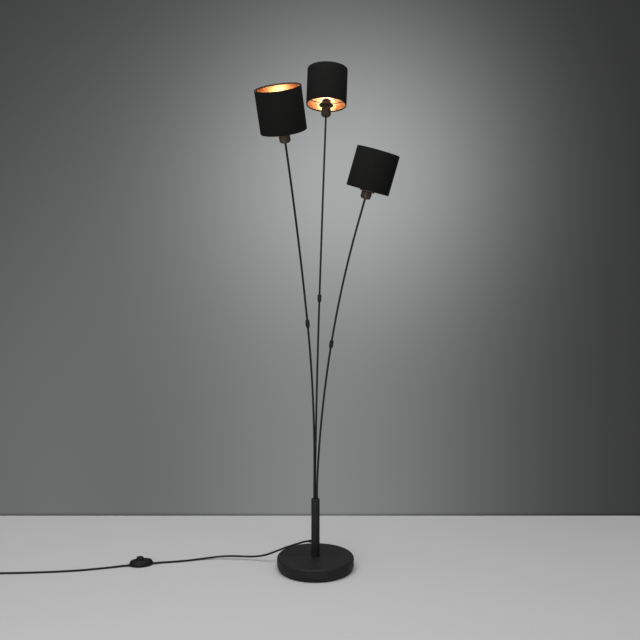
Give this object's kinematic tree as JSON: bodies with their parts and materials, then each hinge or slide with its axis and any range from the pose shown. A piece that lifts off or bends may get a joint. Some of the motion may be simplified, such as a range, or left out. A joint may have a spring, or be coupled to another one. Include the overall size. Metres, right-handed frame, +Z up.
{
  "type": "tree floor lamp",
  "caption": "Floor lamp with a round weighted base, a short column, slender bendable arms of different height and small black drum shades lined in gold, with foot switch and mains cord.",
  "frame": {"origin": "middle of the base's flat underside", "axes": "+Z up along the column, -Y to the front as in the picture, +X to the right"},
  "size_m": [1.351, 0.6267, 1.5157],
  "materials": {
    "black_steel": "satin black powder coat",
    "cast_iron": "rough, unpainted",
    "pad": "foam rubber",
    "zinc_steel": "zinc plated",
    "black_plastic": "satin",
    "terminal_plastic": "matt",
    "bronze_plastic": "satin dark bronze",
    "black_fabric": "fine woven",
    "gold_foil": "satin gold foil",
    "frame_wire": "satin",
    "bulb_glass": "clear",
    "bulb_metal": "plain",
    "cord_sheath": "smooth",
    "pin_metal": "nickel plated"
  },
  "bodies": {
    "stand": {"base_cover": "black_steel", "base_weight": "cast_iron", "base_pad": "pad", "tie_rod": "zinc_steel", "base_nut": "zinc_steel", "column_tube": "black_steel", "column_cap": "black_steel", "terminal_block": "terminal_plastic", "cord_grip": "black_plastic", "cord_to_switch": "cord_sheath", "switch_lower_shell": "black_plastic", "switch_upper_shell": "black_plastic", "switch_mechanism": "terminal_plastic", "cord_to_coil": "cord_sheath", "cord_coil": "cord_sheath", "plug_body": "black_plastic", "plug_pins": "pin_metal"},
    "foot_switch_button": {"switch_button": "black_plastic"},
    "left_root": {"left_arm_root": "black_steel"},
    "left_lower_arm": {"left_arm_lower": "black_steel", "left_coupler": "black_steel", "left_arm_middle": "black_steel"},
    "left_upper_arm": {"left_arm_upper": "black_steel"},
    "left_head": {"left_arm_neck": "black_steel", "left_holder_cap": "bronze_plastic", "left_holder_body": "bronze_plastic", "left_shade_rings": "bronze_plastic", "left_shade_frame": "frame_wire", "left_shade_fabric": "black_fabric", "left_shade_liner": "gold_foil", "left_bulb_glass": "bulb_glass", "left_bulb_cap": "bulb_metal"},
    "rear_root": {"rear_arm_root": "black_steel"},
    "rear_lower_arm": {"rear_arm_lower": "black_steel", "rear_coupler": "black_steel", "rear_arm_middle": "black_steel"},
    "rear_upper_arm": {"rear_arm_upper": "black_steel"},
    "rear_head": {"rear_arm_neck": "black_steel", "rear_holder_cap": "bronze_plastic", "rear_holder_body": "bronze_plastic", "rear_shade_rings": "bronze_plastic", "rear_shade_frame": "frame_wire", "rear_shade_fabric": "black_fabric", "rear_shade_liner": "gold_foil", "rear_bulb_glass": "bulb_glass", "rear_bulb_cap": "bulb_metal"},
    "right_root": {"right_arm_root": "black_steel"},
    "right_lower_arm": {"right_arm_lower": "black_steel", "right_coupler": "black_steel", "right_arm_middle": "black_steel"},
    "right_upper_arm": {"right_arm_upper": "black_steel"},
    "right_head": {"right_arm_neck": "black_steel", "right_holder_cap": "bronze_plastic", "right_holder_body": "bronze_plastic", "right_shade_rings": "bronze_plastic", "right_shade_frame": "frame_wire", "right_shade_fabric": "black_fabric", "right_shade_liner": "gold_foil", "right_bulb_glass": "bulb_glass", "right_bulb_cap": "bulb_metal"}
  },
  "joints": [
    {"name": "left_turn", "type": "hinge", "parent": "stand", "child": "left_root", "pos_m": [-0.00354, -0.00354, 0.217], "axis": [0, 0, 1], "range_deg": [-30, 30]},
    {"name": "left_lean", "type": "hinge", "parent": "left_root", "child": "left_lower_arm", "pos_m": [-0.00354, -0.00354, 0.262], "axis": [0.91, -0.4147, 0], "range_deg": [-2, 25]},
    {"name": "left_bend", "type": "hinge", "parent": "left_lower_arm", "child": "left_upper_arm", "pos_m": [-0.02891, -0.05921, 0.81877], "axis": [0.91, -0.4147, 0], "range_deg": [-8, 25]},
    {"name": "left_tilt", "type": "hinge", "parent": "left_upper_arm", "child": "left_head", "pos_m": [-0.07116, -0.15193, 1.18996], "axis": [0.91, -0.4147, 0], "range_deg": [-20, 30]},
    {"name": "rear_turn", "type": "hinge", "parent": "stand", "child": "rear_root", "pos_m": [-0.00129, 0.00483, 0.217], "axis": [0, 0, 1], "range_deg": [-30, 30]},
    {"name": "rear_lean", "type": "hinge", "parent": "rear_root", "child": "rear_lower_arm", "pos_m": [-0.00129, 0.00483, 0.262], "axis": [-0.9914, 0.1305, 0], "range_deg": [-2, 25]},
    {"name": "rear_bend", "type": "hinge", "parent": "rear_lower_arm", "child": "rear_upper_arm", "pos_m": [0.0143, 0.12327, 0.87688], "axis": [-0.9914, 0.1305, 0], "range_deg": [-8, 25]},
    {"name": "rear_tilt", "type": "hinge", "parent": "rear_upper_arm", "child": "rear_head", "pos_m": [0.02933, 0.23744, 1.29116], "axis": [-0.9914, 0.1305, 0], "range_deg": [-20, 30]},
    {"name": "right_turn", "type": "hinge", "parent": "stand", "child": "right_root", "pos_m": [0.00483, -0.00129, 0.217], "axis": [0, 0, 1], "range_deg": [-30, 30]},
    {"name": "right_lean", "type": "hinge", "parent": "right_root", "child": "right_lower_arm", "pos_m": [0.00483, -0.00129, 0.262], "axis": [0.0175, 0.9998, 0], "range_deg": [-2, 25]},
    {"name": "right_bend", "type": "hinge", "parent": "right_lower_arm", "child": "right_upper_arm", "pos_m": [0.05886, -0.00224, 0.75465], "axis": [0.0175, 0.9998, 0], "range_deg": [-8, 25]},
    {"name": "right_tilt", "type": "hinge", "parent": "right_upper_arm", "child": "right_head", "pos_m": [0.1249, -0.00339, 1.04], "axis": [0.0175, 0.9998, 0], "range_deg": [-20, 30]},
    {"name": "foot_switch_press", "type": "slide", "parent": "stand", "child": "foot_switch_button", "axis": [0, 0, -1], "range_m": [0, 0.003], "stiffness_N_per_m": 700, "springref_m": -0.002}
  ]
}
